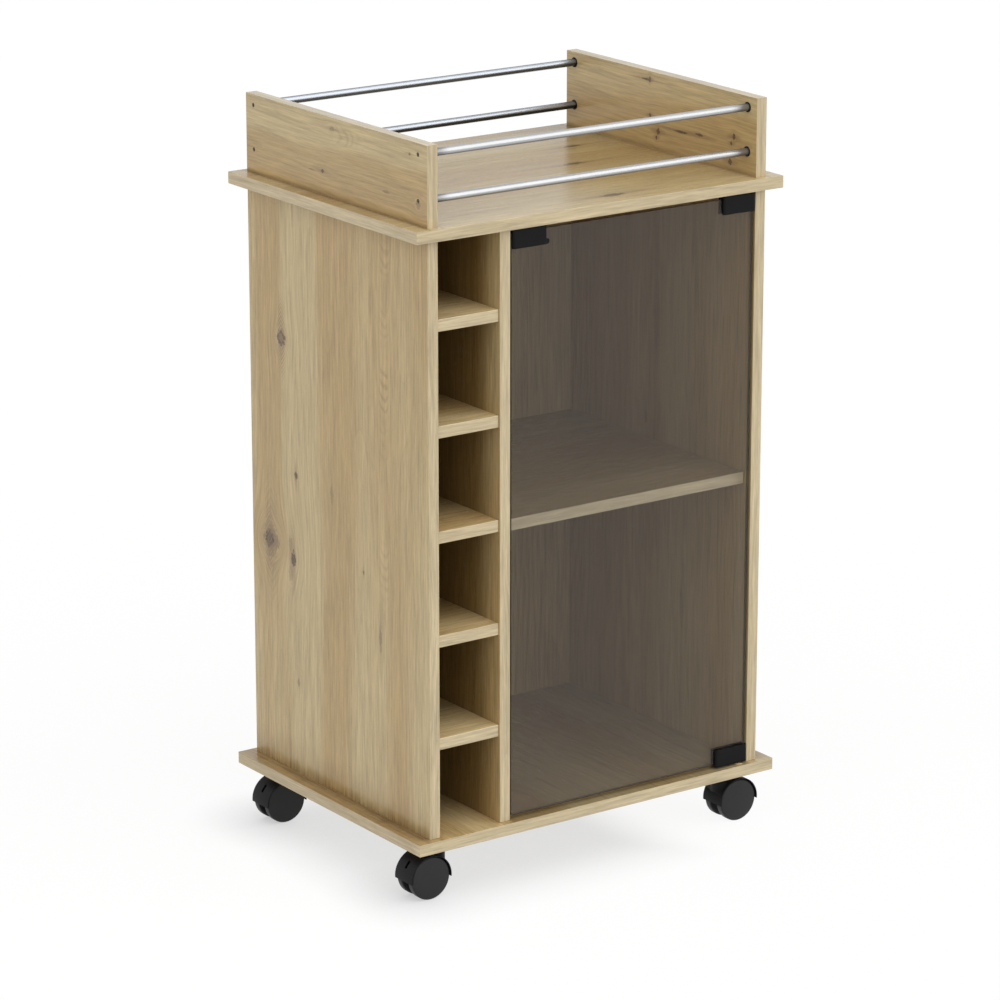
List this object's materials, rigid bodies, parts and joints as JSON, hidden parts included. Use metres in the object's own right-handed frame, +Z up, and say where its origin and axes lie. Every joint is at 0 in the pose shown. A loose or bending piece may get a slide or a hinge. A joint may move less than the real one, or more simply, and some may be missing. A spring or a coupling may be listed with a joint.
{
  "type": "bar cart",
  "caption": "Wooden bar cart on swivel casters, with a railed tray on top, a column of bottle places and a cupboard with a smoked glass door.",
  "frame": {"origin": "On the floor under the middle of the base board and top board.", "axes": "+Z up, -Y to the front (bottle places and glass door), +X to the right seen from the front."},
  "size_m": [0.542, 0.412, 0.938],
  "materials": {
    "oak": "light oak-look faced board, matt, fine open grain with small knots",
    "smoked_glass": "brown-grey tinted safety glass with polished edges",
    "chrome": "polished chrome plate",
    "steel": "zinc-plated steel",
    "black_plastic": "fine-grained black moulded nylon",
    "black_metal": "satin black powder coat",
    "brass": "plain turned brass",
    "magnet": "nickel-plated magnet with steel pole faces"
  },
  "bodies": {
    "cabinet": {"base_board": "oak", "top_board": "oak", "side_panel_left": "oak", "side_panel_right": "oak", "divider_panel": "oak", "back_panel": "oak", "rack_shelf_1": "oak", "rack_shelf_2": "oak", "rack_shelf_3": "oak", "rack_shelf_4": "oak", "rack_shelf_5": "oak", "door_shelf": "oak", "shelf_pin_front_left": "steel", "shelf_pin_back_left": "steel", "shelf_pin_front_right": "steel", "shelf_pin_back_right": "steel", "gallery_board_left": "oak", "gallery_board_right": "oak", "rail_front_lower": "chrome", "rail_front_upper": "chrome", "rail_back_lower": "chrome", "rail_back_upper": "chrome", "rail_screw_front_lower_left": "steel", "rail_screw_front_lower_right": "steel", "rail_screw_front_upper_left": "steel", "rail_screw_front_upper_right": "steel", "rail_screw_back_lower_left": "steel", "rail_screw_back_lower_right": "steel", "rail_screw_back_upper_left": "steel", "rail_screw_back_upper_right": "steel", "catch_housing": "black_plastic", "catch_magnet": "magnet", "pivot_bush_top": "brass", "pivot_bush_bottom": "brass", "caster_front_left_plate": "steel", "caster_back_left_plate": "steel", "caster_front_right_plate": "steel", "caster_back_right_plate": "steel"},
    "door": {"glass_door": "smoked_glass", "hinge_clip_top": "black_metal", "hinge_clip_bottom": "black_metal", "strike_clip": "black_metal", "pivot_pin_top": "steel", "pivot_pin_bottom": "steel"},
    "caster_front_left": {"caster_front_left_housing": "black_plastic", "caster_front_left_axle": "steel"},
    "caster_front_left_wheel_front": {"caster_front_left_wheel_front": "black_plastic"},
    "caster_front_left_wheel_back": {"caster_front_left_wheel_back": "black_plastic"},
    "caster_back_left": {"caster_back_left_housing": "black_plastic", "caster_back_left_axle": "steel"},
    "caster_back_left_wheel_front": {"caster_back_left_wheel_front": "black_plastic"},
    "caster_back_left_wheel_back": {"caster_back_left_wheel_back": "black_plastic"},
    "caster_front_right": {"caster_front_right_housing": "black_plastic", "caster_front_right_axle": "steel"},
    "caster_front_right_wheel_front": {"caster_front_right_wheel_front": "black_plastic"},
    "caster_front_right_wheel_back": {"caster_front_right_wheel_back": "black_plastic"},
    "caster_back_right": {"caster_back_right_housing": "black_plastic", "caster_back_right_axle": "steel"},
    "caster_back_right_wheel_front": {"caster_back_right_wheel_front": "black_plastic"},
    "caster_back_right_wheel_back": {"caster_back_right_wheel_back": "black_plastic"}
  },
  "joints": [
    {"name": "door_hinge", "type": "hinge", "parent": "cabinet", "child": "door", "pos_m": [0.224, -0.1935, 0.453], "axis": [0, 0, 1], "range_deg": [0, 110]},
    {"name": "caster_front_left_swivel", "type": "hinge", "parent": "cabinet", "child": "caster_front_left", "pos_m": [-0.219, -0.163, 0.061], "axis": [0, 0, 1], "continuous": true},
    {"name": "caster_front_left_roll_front", "type": "hinge", "parent": "caster_front_left", "child": "caster_front_left_wheel_front", "pos_m": [-0.237, -0.17575, 0.02741], "axis": [0, 1, 0], "continuous": true},
    {"name": "caster_front_left_roll_back", "type": "hinge", "parent": "caster_front_left", "child": "caster_front_left_wheel_back", "pos_m": [-0.237, -0.15025, 0.02741], "axis": [0, 1, 0], "continuous": true},
    {"name": "caster_back_left_swivel", "type": "hinge", "parent": "cabinet", "child": "caster_back_left", "pos_m": [-0.219, 0.163, 0.061], "axis": [0, 0, 1], "continuous": true},
    {"name": "caster_back_left_roll_front", "type": "hinge", "parent": "caster_back_left", "child": "caster_back_left_wheel_front", "pos_m": [-0.237, 0.15025, 0.02741], "axis": [0, 1, 0], "continuous": true},
    {"name": "caster_back_left_roll_back", "type": "hinge", "parent": "caster_back_left", "child": "caster_back_left_wheel_back", "pos_m": [-0.237, 0.17575, 0.02741], "axis": [0, 1, 0], "continuous": true},
    {"name": "caster_front_right_swivel", "type": "hinge", "parent": "cabinet", "child": "caster_front_right", "pos_m": [0.219, -0.163, 0.061], "axis": [0, 0, 1], "continuous": true},
    {"name": "caster_front_right_roll_front", "type": "hinge", "parent": "caster_front_right", "child": "caster_front_right_wheel_front", "pos_m": [0.237, -0.17575, 0.02741], "axis": [0, 1, 0], "continuous": true},
    {"name": "caster_front_right_roll_back", "type": "hinge", "parent": "caster_front_right", "child": "caster_front_right_wheel_back", "pos_m": [0.237, -0.15025, 0.02741], "axis": [0, 1, 0], "continuous": true},
    {"name": "caster_back_right_swivel", "type": "hinge", "parent": "cabinet", "child": "caster_back_right", "pos_m": [0.219, 0.163, 0.061], "axis": [0, 0, 1], "continuous": true},
    {"name": "caster_back_right_roll_front", "type": "hinge", "parent": "caster_back_right", "child": "caster_back_right_wheel_front", "pos_m": [0.237, 0.15025, 0.02741], "axis": [0, 1, 0], "continuous": true},
    {"name": "caster_back_right_roll_back", "type": "hinge", "parent": "caster_back_right", "child": "caster_back_right_wheel_back", "pos_m": [0.237, 0.17575, 0.02741], "axis": [0, 1, 0], "continuous": true}
  ]
}
